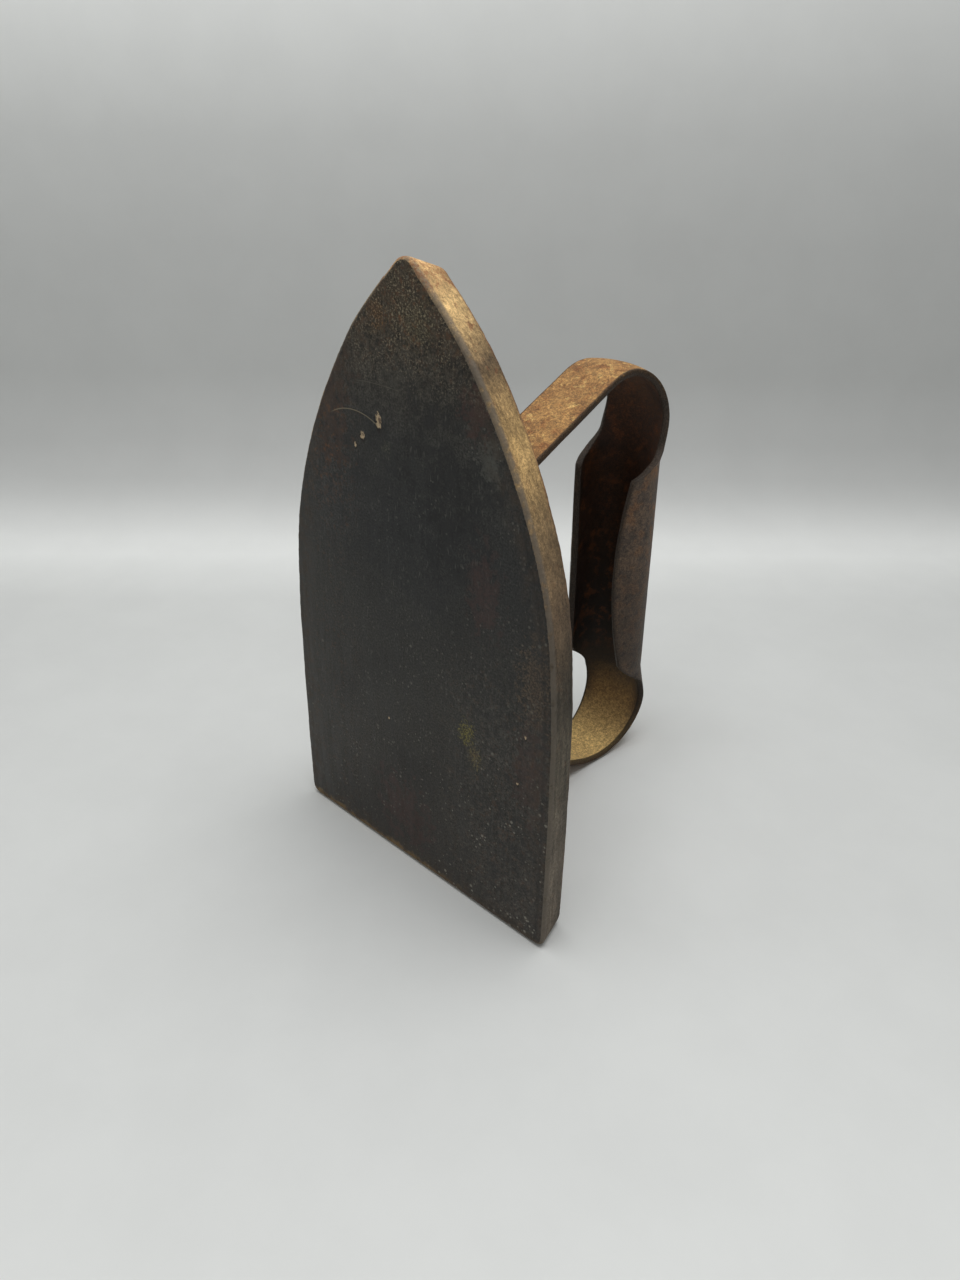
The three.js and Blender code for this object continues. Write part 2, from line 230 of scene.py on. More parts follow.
# ---- materials ----
class Nodes:
    """Builds one material's node tree. Lengths are in millimetres, and a value may be a number or the
    output of another node."""

    def __init__(self, name):
        self.material = bpy.data.materials.new(name)
        self.material.use_nodes = True
        self.tree = self.material.node_tree
        self.shader = self.tree.nodes["Principled BSDF"]
        coordinates = self.add("ShaderNodeTexCoord")
        self.millimetres = self.stretched(coordinates.outputs["Object"], (1 / MM, 1 / MM, 1 / MM))

    def add(self, kind, **settings):
        node = self.tree.nodes.new(kind)
        for key, value in settings.items():
            setattr(node, key, value)
        return node

    def put(self, socket, value):
        if isinstance(value, bpy.types.NodeSocket):
            self.tree.links.new(value, socket)
        else:
            socket.default_value = value

    def stretched(self, vector, scale):
        """Coordinates multiplied by `scale` along each axis."""
        node = self.add("ShaderNodeMapping")
        self.put(node.inputs["Vector"], vector)
        node.inputs["Scale"].default_value = scale
        return node.outputs["Vector"]

    def along_length(self, share):
        """Coordinates in which a texture is drawn out along Z."""
        return self.stretched(self.millimetres, (1, 1, share))

    def noise(self, size, detail=4.0, roughness=0.55, vector=None):
        node = self.add("ShaderNodeTexNoise")
        self.put(node.inputs["Vector"], vector or self.millimetres)
        node.inputs["Scale"].default_value = 1 / size
        node.inputs["Detail"].default_value = detail
        node.inputs["Roughness"].default_value = roughness
        return node.outputs["Fac"]

    def dots(self, size):
        """On the sole: distance to the nearest of scattered points that lie about `size` apart, as a share
        of that spacing, and a random value for each point."""
        flat = self.add("ShaderNodeCombineXYZ")
        self.put(flat.inputs["X"], self.axis(0))
        self.put(flat.inputs["Y"], self.axis(2))
        node = self.add("ShaderNodeTexVoronoi", voronoi_dimensions="2D")
        self.put(node.inputs["Vector"], flat.outputs["Vector"])
        node.inputs["Scale"].default_value = 1 / size
        return node.outputs["Distance"], node.outputs["Color"]

    def math(self, operation, a, b=0.0, clamp=False):
        node = self.add("ShaderNodeMath", operation=operation, use_clamp=clamp)
        self.put(node.inputs[0], a)
        self.put(node.inputs[1], b)
        return node.outputs["Value"]

    def product(self, a, b):
        return self.math("MULTIPLY", a, b)

    def swing(self, texture, size):
        """A texture as a shift about 0, `size` from its lowest to its highest."""
        return self.product(self.math("SUBTRACT", texture, 0.5), size)

    def ramp(self, value, low, high, out_low=0.0, out_high=1.0):
        """Smoothly from out_low at `low` to out_high at `high`."""
        node = self.add("ShaderNodeMapRange", interpolation_type="SMOOTHSTEP")
        self.put(node.inputs["Value"], value)
        for name, number in zip(("From Min", "From Max", "To Min", "To Max"), (low, high, out_low, out_high)):
            node.inputs[name].default_value = number
        return node.outputs["Result"]

    def mix(self, share, a, b, blend="MIX"):
        """From colour a at 0 to colour b at 1. Sockets 6, 7 and 2 are the node's colour ones."""
        node = self.add("ShaderNodeMix", data_type="RGBA", blend_type=blend)
        self.put(node.inputs["Factor"], share)
        self.put(node.inputs[6], a)
        self.put(node.inputs[7], b)
        return node.outputs[2]

    def attribute(self, name):
        return self.add("ShaderNodeAttribute", attribute_name=name).outputs["Fac"]

    def axis(self, index):
        """The X, Y or Z place in millimetres, for 0, 1 or 2."""
        node = self.add("ShaderNodeSeparateXYZ")
        self.put(node.inputs[0], self.millimetres)
        return node.outputs[index]

    def tones(self, value, stops):
        """A colour that changes along `value`, through the colours given at each stop."""
        low, high = stops[0][0], stops[-1][0]
        node = self.add("ShaderNodeValToRGB")
        self.put(node.inputs["Fac"], self.math("DIVIDE", self.math("SUBTRACT", value, low), high - low))
        elements = node.color_ramp.elements
        while len(elements) < len(stops):
            elements.new(0.5)
        for element, (place, colour) in zip(elements, stops):
            element.position = (place - low) / (high - low)
            element.color = colour
        return node.outputs["Color"]

    def reach(self, centre, scale):
        """On the sole: distance from `centre` (x, z), once x and z are multiplied by `scale` (x, z)."""
        node = self.add("ShaderNodeMapping")
        self.put(node.inputs["Vector"], self.millimetres)
        node.inputs["Scale"].default_value = (scale[0], 0, scale[1])
        node.inputs["Location"].default_value = (-scale[0] * centre[0], 0, -scale[1] * centre[1])
        length = self.add("ShaderNodeVectorMath", operation="LENGTH")
        self.put(length.inputs[0], node.outputs["Vector"])
        return length.outputs["Value"]

    def patch(self, centre, size, ragged, grain):
        """1 inside a ragged blotch on the sole, round `centre` (x, z) and `size` (x, z) millimetres wide."""
        reach = self.reach(centre, (2 / size[0], 2 / size[1]))
        shift = self.swing(self.noise(grain, 4.0, 0.65), ragged * 4)
        return self.ramp(self.math("ADD", reach, shift), 1.1, 0.55)

    def arc(self, centre, radius, x_range, thickness):
        """1 on a thin curved scratch on the sole: part of a circle in x and z."""
        off = self.math("ABSOLUTE", self.math("SUBTRACT", self.reach(centre, (1, 1)), radius))
        line = self.ramp(off, thickness, thickness * 0.3)
        above = self.ramp(self.axis(2), centre[1], centre[1] + 1)
        start = self.ramp(self.axis(0), x_range[0] - 1.5, x_range[0] + 1.5)
        end = self.ramp(self.axis(0), x_range[1], x_range[1] - 0.5)
        return self.product(self.product(line, above), self.product(start, end))

    def times(self, colour, factor):
        """The colour made `factor` times as bright."""
        grey = self.add("ShaderNodeCombineColor")
        for channel in ("Red", "Green", "Blue"):
            self.put(grey.inputs[channel], factor)
        return self.mix(1.0, colour, grey.outputs["Color"], "MULTIPLY")

    def contrast(self, colour, value, low, high, darkest, brightest):
        """The colour made darker or brighter by a texture, from `darkest` to `brightest` times."""
        return self.times(colour, self.ramp(value, low, high, darkest, brightest))

    def bump(self, height, strength, distance, normal=None):
        node = self.add("ShaderNodeBump")
        self.put(node.inputs["Height"], height)
        node.inputs["Strength"].default_value = strength
        node.inputs["Distance"].default_value = distance * MM
        if normal is not None:
            self.put(node.inputs["Normal"], normal)
        return node.outputs["Normal"]

    def set(self, name, value):
        self.put(self.shader.inputs[name], value)


def srgb(red, green, blue):
    """A colour given as 0 to 255 display levels, in the linear values that a shader takes."""
    linear = []
    for level in (red, green, blue):
        share = level / 255
        linear.append(share / 12.92 if share <= 0.04045 else ((share + 0.055) / 1.055) ** 2.4)
    return (*linear, 1.0)


def rust_grain(nodes, colour, strength=1.0):
    """Rust's sandy grain over a colour: pale and dark grains about 1 mm and 0.3 mm across."""
    grain = nodes.noise(1.0, 4.0, 0.75)
    fine = nodes.noise(0.36, 2.0, 0.6)
    colour = nodes.contrast(colour, grain, 0.3, 0.72, 1 - 0.42 * strength, 1 + 0.5 * strength)
    colour = nodes.contrast(colour, fine, 0.28, 0.74, 1 - 0.35 * strength, 1 + 0.4 * strength)
    return colour, grain, fine


def sole_ground(nodes, height, streaks, mottle, grit, rough_zone):
    """Near-black iron, smooth and streaked, or rougher and sandier where rough_zone is 1."""
    black = nodes.tones(
        height,
        [
            (0.0, srgb(46, 43, 39)),
            (45.0, srgb(43, 41, 37)),
            (80.0, srgb(39, 38, 35)),
            (105.0, srgb(38, 38, 37)),
            (128.0, srgb(43, 42, 39)),
            (150.0, srgb(46, 41, 33)),
            (165.0, srgb(50, 44, 35)),
        ],
    )
    clouds = nodes.noise(24.0, 5.0, 0.55)
    black = nodes.contrast(black, clouds, 0.3, 0.7, 0.8, 1.22)
    sand = nodes.noise(0.55, 3.0, 0.72)
    smooth = nodes.contrast(black, mottle, 0.3, 0.7, 0.84, 1.2)
    smooth = nodes.contrast(smooth, streaks, 0.3, 0.7, 0.86, 1.16)
    smooth = nodes.contrast(smooth, sand, 0.3, 0.72, 0.5, 1.85)
    rough = nodes.contrast(black, mottle, 0.3, 0.7, 0.68, 1.45)
    rough = nodes.contrast(rough, grit, 0.3, 0.7, 0.42, 1.95)
    rough = nodes.contrast(rough, sand, 0.3, 0.72, 0.4, 2.3)
    return nodes.mix(rough_zone, smooth, rough)


def with_patches(nodes, black, grit, speckle):
    """Blotches of rust, scale and darker black."""
    mottled = nodes.ramp(grit, 0.3, 0.62, 0.25, 1.15)
    speckled = nodes.ramp(speckle, 0.45, 0.6, 0.15, 1.3)
    for centre, size, colour, share, grain in SOLE_PATCHES:
        texture = speckled if grain < FINE_GRAIN else mottled
        patch = nodes.product(nodes.patch(centre, size, 1.2, grain), texture)
        black = nodes.mix(nodes.math("MULTIPLY", patch, share, True), black, srgb(*colour))
    return black


def with_grains(nodes, black, height, mottle, speckle, brown_sides):
    """Pale grains at the toe, and brown ones there and where brown_sides says."""
    clumps = nodes.ramp(nodes.noise(4.5, 3.0, 0.6), 0.36, 0.6)
    pale = nodes.product(nodes.ramp(speckle, 0.54, 0.63), clumps)
    pale = nodes.product(pale, nodes.ramp(height, 132.0, 156.0, 0.0, 0.62))
    black = nodes.mix(pale, black, srgb(172, 158, 130))
    brown = nodes.product(nodes.ramp(nodes.noise(1.0, 3.0, 0.65), 0.52, 0.62), nodes.ramp(mottle, 0.4, 0.6))
    brown_zone = nodes.math("MAXIMUM", nodes.ramp(height, 136.0, 160.0, 0.0, 0.8), brown_sides)
    return nodes.mix(nodes.product(brown, brown_zone), black, srgb(108, 70, 42))


def with_edges(nodes, black, height, across, mottle):
    """Brown bands and a thin dark line of painted shade along the edges, and thin pale dashes along the
    length.
    """
    band = nodes.product(nodes.ramp(nodes.attribute("rim"), 0.3, 1.0), nodes.ramp(mottle, 0.36, 0.66))
    black = nodes.mix(nodes.product(band, 0.55), black, srgb(66, 54, 43))
    # painted shade: a thin dark line along the rounding of the right edge, towards the toe
    on_right = nodes.product(nodes.ramp(across, 20.0, 32.0), nodes.ramp(height, 124.0, 108.0))
    line = nodes.product(nodes.attribute("edge_shade_line"), on_right)
    black = nodes.mix(nodes.product(line, 0.6), black, srgb(24, 21, 18))
    dashes = nodes.noise(0.6, 2.0, 0.5, nodes.along_length(0.2))
    return nodes.mix(nodes.ramp(dashes, 0.62, 0.76, 0.0, 0.34), black, srgb(98, 95, 88))


def with_pinholes(nodes, black, height, across):
    """Pale pinholes in clusters, thickest low down on the right."""
    low_down = nodes.ramp(height, 90.0, 12.0, 0.3, 1.0)
    rightward = nodes.ramp(across, -30.0, 30.0, 0.35, 1.0)
    clusters = nodes.ramp(nodes.noise(13.0, 3.0, 0.6), 0.4, 0.66, 0.15, 1.0)
    thick = nodes.product(nodes.product(low_down, rightward), clusters)
    for spacing, radius, rarity in SOLE_PINHOLES:
        distance, random = nodes.dots(spacing)
        widest = nodes.ramp(random, rarity, 0.9, 0.0, radius * 1.6)
        near = nodes.math("SUBTRACT", widest, distance)
        share = nodes.product(nodes.ramp(near, -0.02, 0.05), thick)
        black = nodes.mix(nodes.product(share, 0.95), black, srgb(134, 130, 118))
    return black


def with_chips(nodes, black):
    """Bare metal in each chip, with a dark core and a painted shadow round it and below it."""
    for (x, z), (wide, tall), _ in SOLE_CHIPS:
        # painted shadow round the chip and below it
        shadow = nodes.patch((x + 0.2, z - 0.3), (wide * 1.6, tall * 1.5), 0.35, 0.6)
        black = nodes.mix(nodes.product(shadow, 0.8), black, srgb(26, 20, 16))
        bare = nodes.patch((x, z), (wide, tall), 0.7, 0.8)
        black = nodes.mix(nodes.product(bare, 0.95), black, srgb(190, 168, 136))
        core = nodes.patch((x + 0.1, z + 0.3), (wide * 0.55, tall * 0.5), 0.6, 0.5)
        black = nodes.mix(nodes.product(core, 0.8), black, srgb(74, 54, 40))
    return black


def sole_colour(nodes, streaks, mottle):
    """Near-black iron, brown and mottled towards the toe, with patches, specks and chips of its own, and a
    painted reflection that turns it paler grey towards its left edge.
    """
    height = nodes.axis(2)
    across = nodes.axis(0)
    grit = nodes.noise(1.3, 4.0, 0.7)
    speckle = nodes.noise(0.55, 3.0, 0.7)
    near_toe = nodes.ramp(height, 116.0, 152.0)
    on_left = nodes.product(nodes.ramp(across, -14.0, -32.0), nodes.ramp(height, 90.0, 125.0, 0.15, 0.8))
    low_right = nodes.product(nodes.ramp(across, 0.0, 34.0), nodes.ramp(height, 96.0, 60.0, 0.0, 0.65))
    rough_zone = nodes.math("MAXIMUM", near_toe, nodes.math("MAXIMUM", on_left, low_right))
    black = sole_ground(nodes, height, streaks, mottle, grit, rough_zone)
    # painted reflection: a paler grey towards the sole's left edge stands in for the pale floor reflected
    # there
    black = nodes.mix(nodes.ramp(across, -24.0, -46.0, 0.0, 0.55), black, srgb(58, 57, 53))
    black = with_patches(nodes, black, grit, speckle)
    brown_sides = nodes.math("MAXIMUM", on_left, nodes.product(low_right, 0.35))
    black = with_grains(nodes, black, height, mottle, speckle, brown_sides)
    black = with_edges(nodes, black, height, across, mottle)
    black = with_pinholes(nodes, black, height, across)
    black = with_chips(nodes, black)
    for centre, radius, x_range, thickness, share, colour in SOLE_SCRATCHES:
        scratch = nodes.arc(centre, radius, x_range, thickness)
        black = nodes.mix(nodes.product(scratch, share), black, srgb(*colour))
    return black


def side_colour(nodes):
    """Dusty tan rust, golden at the toe and greyer and darker towards the heel, drawn along the edge."""
    height = nodes.axis(2)
    tone = nodes.tones(
        height,
        [
            (0.0, srgb(100, 90, 78)),
            (28.0, srgb(101, 92, 80)),
            (55.0, srgb(84, 77, 65)),
            (78.0, srgb(67, 59, 47)),
            (97.0, srgb(104, 85, 64)),
            (115.0, srgb(131, 108, 76)),
            (131.0, srgb(188, 154, 101)),
            (146.0, srgb(98, 80, 58)),
            (157.0, srgb(212, 177, 122)),
            (165.0, srgb(222, 182, 126)),
        ],
    )
    clouds = nodes.noise(11.0, 4.0, 0.6)
    tone = nodes.contrast(tone, clouds, 0.32, 0.68, 0.76, 1.26)
    through = nodes.axis(1)
    far_half = nodes.math("ADD", through, nodes.swing(clouds, 8.0))
    tone = nodes.contrast(tone, far_half, -2.5, 4.5, 1.1, 0.84)
    drawn = nodes.noise(1.4, 4.0, 0.6, nodes.along_length(0.1))
    tone = nodes.contrast(tone, drawn, 0.3, 0.7, 0.78, 1.24)
    red = nodes.ramp(nodes.noise(2.6, 4.0, 0.6), 0.58, 0.68, 0.0, 0.7)
    reddish = nodes.product(red, nodes.ramp(height, 120.0, 158.0, 0.25, 1.0))
    tone = nodes.mix(reddish, tone, srgb(120, 72, 44))
    by_top_face = nodes.ramp(nodes.math("ADD", through, nodes.swing(drawn, 3.0)), 3.7, 5.2)
    dark_edge = nodes.product(by_top_face, nodes.ramp(height, 80.0, 125.0, 0.2, 0.75))
    tone = nodes.mix(dark_edge, tone, srgb(104, 66, 42))
    return rust_grain(nodes, tone, 0.8)


def plate_material():
    nodes = Nodes("blackened_plate_iron")
    sole = nodes.attribute("sole")
    streaks = nodes.noise(1.5, 4.0, 0.6, nodes.along_length(0.1))
    mottle = nodes.noise(3.0, 5.0, 0.7)
    black = sole_colour(nodes, streaks, mottle)
    side, grain, fine = side_colour(nodes)
    # the rounded edges turn grey with wear, and are made lighter as a painted highlight
    wear_and_highlight = nodes.product(nodes.attribute("edge_wear_and_highlight"), nodes.ramp(nodes.noise(2.2), 0.3, 0.5, 0.35, 1.0))
    side = nodes.mix(nodes.product(wear_and_highlight, 0.8), side, srgb(104, 96, 86))
    ragged = nodes.math("ADD", sole, nodes.swing(mottle, 0.5))
    colour = nodes.mix(nodes.ramp(ragged, 0.35, 0.65), side, black)
    height = nodes.axis(2)
    low_edge = nodes.math("ADD", height, nodes.swing(mottle, 8.0))
    left_half = nodes.ramp(nodes.axis(0), 22.0, 2.0, 0.2, 1.0)
    ochre = nodes.product(nodes.ramp(low_edge, 3.0, 1.4), left_half)
    colour = nodes.mix(nodes.product(ochre, 0.8), colour, srgb(116, 92, 52))
    tip = nodes.product(nodes.ramp(height, 157.0, 162.5), nodes.ramp(grain, 0.42, 0.6))
    off_sole = nodes.math("SUBTRACT", 0.75, sole)
    colour = nodes.mix(nodes.product(tip, off_sole), colour, srgb(128, 76, 46))
    nodes.set("Base Color", colour)

    rough = nodes.add("ShaderNodeMix", data_type="FLOAT")
    nodes.put(rough.inputs[0], sole)
    rough.inputs[2].default_value = RUST_ROUGHNESS
    streaky = nodes.ramp(streaks, 0.3, 0.7, 0.4, 0.54)
    worn_smooth = nodes.math("ADD", streaky, nodes.ramp(mottle, 0.35, 0.7, 0.0, 0.12))
    nodes.put(rough.inputs[3], worn_smooth)
    nodes.set("Roughness", rough.outputs[0])
    nodes.set("Metallic", nodes.product(sole, 0.3))
    nodes.set("Specular IOR Level", 0.38)

    rusty = nodes.math("SUBTRACT", 1.0, nodes.product(sole, 0.9))
    normal = nodes.bump(nodes.product(grain, rusty), 0.7, 0.35)
    normal = nodes.bump(nodes.product(fine, rusty), 0.5, 0.12, normal)
    normal = nodes.bump(nodes.product(streaks, sole), 0.3, 0.06, normal)
    normal = nodes.bump(nodes.product(mottle, sole), 0.3, 0.1, normal)
    nodes.set("Normal", normal)
    return nodes.material


def outer_rust_colour(nodes):
    """Golden brown rust with russet and yellow blooms."""
    browner = nodes.ramp(nodes.noise(6.0, 4.0, 0.6), 0.4, 0.62)
    rust = nodes.mix(browner, srgb(158, 120, 73), srgb(136, 99, 60))
    russet = nodes.ramp(nodes.noise(3.4, 4.0, 0.65), 0.53, 0.66, 0.0, 0.6)
    rust = nodes.mix(russet, rust, srgb(122, 76, 43))
    yellow = nodes.ramp(nodes.noise(2.2, 3.0, 0.6), 0.57, 0.68, 0.0, 0.6)
    return nodes.mix(yellow, rust, srgb(194, 160, 100))


def inner_rust_colour(nodes, distance):
    """Rust inside the handle: dark, red and sooty in the grip, golden on the rear leg, with painted shade in
    a band inside each rim around the rear bend.
    """
    rust = nodes.tones(
        distance,
        [
            (-125.0, srgb(150, 110, 66)),
            (-95.0, srgb(118, 80, 46)),
            (-70.0, srgb(84, 56, 34)),
            (-45.0, srgb(66, 42, 27)),
            (0.0, srgb(46, 30, 20)),
            (28.0, srgb(22, 17, 13)),
            (42.0, srgb(44, 35, 25)),
            (56.0, srgb(130, 103, 65)),
            (74.0, srgb(190, 160, 104)),
            (110.0, srgb(180, 148, 96)),
        ],
    )
    above_rear_bend = nodes.ramp(distance, 42.0, 26.0)
    red = nodes.product(nodes.ramp(nodes.noise(4.2, 5.0, 0.65), 0.5, 0.64, 0.0, 0.55), above_rear_bend)
    rust = nodes.mix(red, rust, srgb(104, 60, 30))
    soot = nodes.product(nodes.ramp(nodes.noise(8.0, 4.0, 0.6), 0.52, 0.66, 0.0, 0.6), above_rear_bend)
    rust = nodes.mix(soot, rust, srgb(26, 18, 14))
    # painted shade: a darker band inside each rim around the rear bend
    painted_rim_shade = nodes.product(nodes.attribute("rim_shade_band"), nodes.ramp(distance, 76.0, 48.0, 0.0, 0.7))
    painted_rim_shade = nodes.product(painted_rim_shade, nodes.ramp(distance, 30.0, 40.0))
    return nodes.mix(painted_rim_shade, rust, srgb(48, 38, 29))


def patina_colour(nodes, distance, smooth_patches):
    """Dark brown where the grip was held, warmer and paler towards its top."""
    patina = nodes.mix(nodes.ramp(smooth_patches, 0.38, 0.64), srgb(88, 72, 58), srgb(68, 58, 50))
    flecks = nodes.ramp(nodes.noise(1.5, 3.0, 0.65), 0.54, 0.68, 0.0, 0.6)
    patina = nodes.mix(flecks, patina, srgb(36, 28, 25))
    warm = nodes.ramp(nodes.noise(5.0, 4.0, 0.6), 0.48, 0.64)
    warm = nodes.product(warm, nodes.ramp(distance, 8.0, -26.0, 0.3, 0.75))
    patina = nodes.mix(warm, patina, srgb(108, 76, 50))
    return nodes.contrast(patina, distance, -26.0, 26.0, 1.18, 0.72)


def strip_material():
    """Golden, sandy rust, worn to a smooth dark brown where a hand or a cloth held the grip."""
    nodes = Nodes("rusted_strip_iron")
    distance = nodes.attribute("from_grip")
    smooth_patches = nodes.noise(6.0, 5.0, 0.6)
    ragged = nodes.math("ADD", nodes.attribute("handled"), nodes.swing(smooth_patches, 0.8))
    handled = nodes.ramp(ragged, 0.25, 0.75)
    outside = nodes.mix(handled, outer_rust_colour(nodes), patina_colour(nodes, distance, smooth_patches))
    colour = nodes.mix(nodes.attribute("inside"), outside, inner_rust_colour(nodes, distance))
    colour, grain, fine = rust_grain(nodes, colour)
    rim = nodes.product(nodes.attribute("rim"), nodes.ramp(nodes.noise(1.7), 0.2, 0.38))
    edge_tone = nodes.mix(nodes.ramp(fine, 0.4, 0.65), srgb(42, 37, 32), srgb(70, 62, 54))
    edge_tone = nodes.mix(nodes.ramp(distance, 34.0, 48.0, 0.0, 0.7), edge_tone, srgb(38, 32, 27))
    colour = nodes.mix(nodes.product(rim, 0.85), colour, edge_tone)
    nodes.set("Base Color", colour)

    rough = nodes.ramp(grain, 0.3, 0.7, 0.72, 0.92)
    nodes.set("Roughness", nodes.math("SUBTRACT", rough, nodes.product(handled, 0.18)))
    nodes.set("Metallic", nodes.product(rim, 0.35))
    nodes.set("Specular IOR Level", 0.35)
    normal = nodes.bump(grain, 0.7, 0.3)
    normal = nodes.bump(fine, 0.5, 0.12, normal)
    nodes.set("Normal", normal)
    return nodes.material


def stud_material():
    nodes = Nodes("hammered_stud_iron")
    tone = nodes.mix(nodes.ramp(nodes.noise(2.5), 0.4, 0.6), srgb(112, 86, 60), srgb(84, 70, 58))
    colour, grain, fine = rust_grain(nodes, tone)
    nodes.set("Base Color", colour)
    nodes.set("Roughness", nodes.ramp(grain, 0.3, 0.7, 0.5, 0.8))
    nodes.set("Metallic", 0.3)
    nodes.set("Normal", nodes.bump(fine, 0.5, 0.15, nodes.bump(grain, 0.6, 0.25)))
    return nodes.material


# ---- plate ----
def distance_from_edge(points, sides):
    """How far each point lies from the plate's outline, seen square on to the sole."""
    tree = kdtree.KDTree(len(sides))
    for i, (x, _, z) in enumerate(sides):
        tree.insert((x, 0.0, z), i)
    tree.balance()
    return np.array([tree.find((x, 0.0, z))[2] for x, _, z in points])


def add_chips(sink, points, sole):
    """Deepens `sink` at the ragged chips in the sole."""
    for centre, size, deep in SOLE_CHIPS:
        reach = np.linalg.norm((points[:, [0, 2]] - np.array(centre)) / np.array(size) * 2, axis=1)
        near = reach < 2
        ragged = 1 + 0.4 * relief(points[near], 0.9, 3, 2)
        sink[near] += deep * smoothstep(ragged - reach[near], -0.1, 0.35) * sole[near]


def make_plate():
    """The CAD plate remeshed finely, with the uneven faces and softened edges of old cast iron."""
    piece = remeshed("plate", "sole_plate", PLATE_VOXEL, 10)
    mesh = piece.data
    points = positions_of(mesh) / MM
    normals = normals_of(mesh)
    depth = points[:, 1] - SOLE_Y
    sole = smoothstep(-normals[:, 1], 0.9, 0.995) * smoothstep(depth, 0.6, 0.1)
    # the right edge is worn towards the toe, where the black starts a little way in
    worn = smoothstep(points[:, 2], 98.0, 130.0) * smoothstep(points[:, 0], 0.0, 4.0)
    sides = points[(depth > 1.0) & (depth < 2.0) & (np.abs(normals[:, 1]) < 0.5)]
    from_edge = distance_from_edge(points, sides)
    black_from = 0.6 * worn
    blackened = sole * smoothstep(from_edge, black_from, black_from + 0.6)
    flat_relief = unevenness(points, 9.0, 1, 3)
    grain_relief = unevenness(points, 1.3, 2, 3)
    rough = 1.0 - sole
    sink = rough * (0.16 * flat_relief + 0.1 * grain_relief) + sole * 0.025 * flat_relief
    add_chips(sink, points, sole)
    sink += WORN_DEPTH * worn * sole * np.clip(1 - from_edge / WORN_WIDTH, 0, 1) ** 2
    points -= normals * sink[:, None]
    set_positions(mesh, points * MM, "sole_plate")
    shade_smooth(mesh)

    sole_edge = smoothstep(from_edge, 3.0, 1.6) * smoothstep(depth, 2.1, 0.9)
    top_edge = smoothstep(np.abs(points[:, 1] - TOP_Y), 0.9, 0.2) * smoothstep(from_edge, 5.0, 3.2)
    add_attribute(mesh, "sole", blackened)
    add_attribute(mesh, "rim", smoothstep(from_edge, 14.0, 0.0) * sole)
    # where a thin line of painted shade goes along the rounding of the sole's edge
    add_attribute(mesh, "edge_shade_line", np.exp(-(((from_edge - 2.3) / 0.45) ** 2)) * sole)
    # grey wear on the rounded edges, which also carries a painted highlight
    add_attribute(mesh, "edge_wear_and_highlight", np.clip(sole_edge + 0.6 * top_edge, 0, 1))
    finish_piece(piece, plate_material(), "plate_iron", "sole_plate")


# ---- handle strip ----
def bend_points(previous, corner, following, radius):
    """Points (Y, Z) along the round bend at a corner between two straight runs."""
    at = np.array(corner)
    before = np.array(previous) - at
    after = np.array(following) - at
    before /= np.linalg.norm(before)
    after /= np.linalg.norm(after)
    half_angle = math.acos(before @ after) / 2
    middle = (before + after) / np.linalg.norm(before + after)
    centre = at + middle * radius / math.sin(half_angle)
    start = at + before * radius / math.tan(half_angle) - centre
    turn = math.pi - 2 * half_angle
    if before[0] * after[1] - before[1] * after[0] > 0:
        turn = -turn
    points = []
    for step in range(BEND_STEPS + 1):
        angle = turn * step / BEND_STEPS
        cosine, sine = math.cos(angle), math.sin(angle)
        turned = [start[0] * cosine - start[1] * sine, start[0] * sine + start[1] * cosine]
        points.append(centre + np.array(turned))
    return points


def bent_path():
    """Points and tangents (Y, Z) of the strip's mid-surface in side view, from foot to foot, every
    STATION_STEP, and the distance along it of the middle of the grip."""
    foot_y = TOP_Y + GAP + STRIP_THICKNESS / 2
    base_z = STRIP_THICKNESS / 2
    corners = [
        ((foot_y, FRONT_LEG_Z - FOOT_LENGTH), 0.0),
        ((foot_y, FRONT_LEG_Z), FOOT_BEND),
        (GRIP_TOP["at"], GRIP_TOP["bend"]),
        ((GRIP_BOTTOM["y"], base_z), GRIP_BOTTOM["bend"]),
        ((REAR_LEG_TURN["y"], base_z), REAR_LEG_TURN["bend"]),
        ((foot_y, REAR_LEG_Z), FOOT_BEND),
        ((foot_y, REAR_LEG_Z + FOOT_LENGTH), 0.0),
    ]
    fine = [np.array(corners[0][0])]
    for (previous, _), (corner, radius), (following, _) in zip(corners, corners[1:], corners[2:]):
        fine += bend_points(previous, corner, following, radius)
    fine.append(np.array(corners[-1][0]))
    fine = np.array(fine)
    reach = np.concatenate([[0.0], np.cumsum(np.linalg.norm(np.diff(fine, axis=0), axis=1))])
    stations = np.linspace(0.0, reach[-1], int(reach[-1] / STATION_STEP))
    points = np.stack([np.interp(stations, reach, fine[:, k]) for k in (0, 1)], axis=1)
    tangents = np.gradient(points, stations, axis=0)
    tangents /= np.linalg.norm(tangents, axis=1)[:, None]
    on_grip = points[:, 0] > GRIP_TOP["at"][0] - 5
    middle = stations[on_grip][np.argmin(np.abs(points[on_grip, 1] - WING_MIDDLE_Z))]
    return points, tangents, stations - middle


def half_width_at(distance):
    """Half the width of the flat sheet at a distance along it from the middle of the grip."""
    along = abs(distance)
    end = WING_TOP_END if distance < 0 else WING_BOTTOM_END
    if along <= WING_HALF_LENGTH:
        return lerp(WING_HALF_WIDTH, WING_END_HALF_WIDTH, (along / WING_HALF_LENGTH) ** 2)
    past = along - WING_HALF_LENGTH
    narrowing = min(past / (end["shoulder"] + end["neck_length"]), 1.0)
    beyond = lerp(STRIP_HALF_WIDTH, end["neck"], (1 - narrowing) ** 1.2)
    fallen = min(past / end["shoulder"], 1.0) ** end["fall"]
    return lerp(WING_END_HALF_WIDTH, beyond, smoothstep(fallen, 0.0, 1.0))


def curl_at(distance):
    """The curvature across the sheet, which fades away along the legs."""
    end = WING_TOP_END if distance < 0 else WING_BOTTOM_END
    past = abs(distance) - WING_HALF_LENGTH - end["curl_end"]
    return math.exp(-max(past, 0.0) / end["curl_fade"]) / (TUBE_RADIUS - STRIP_THICKNESS / 2)


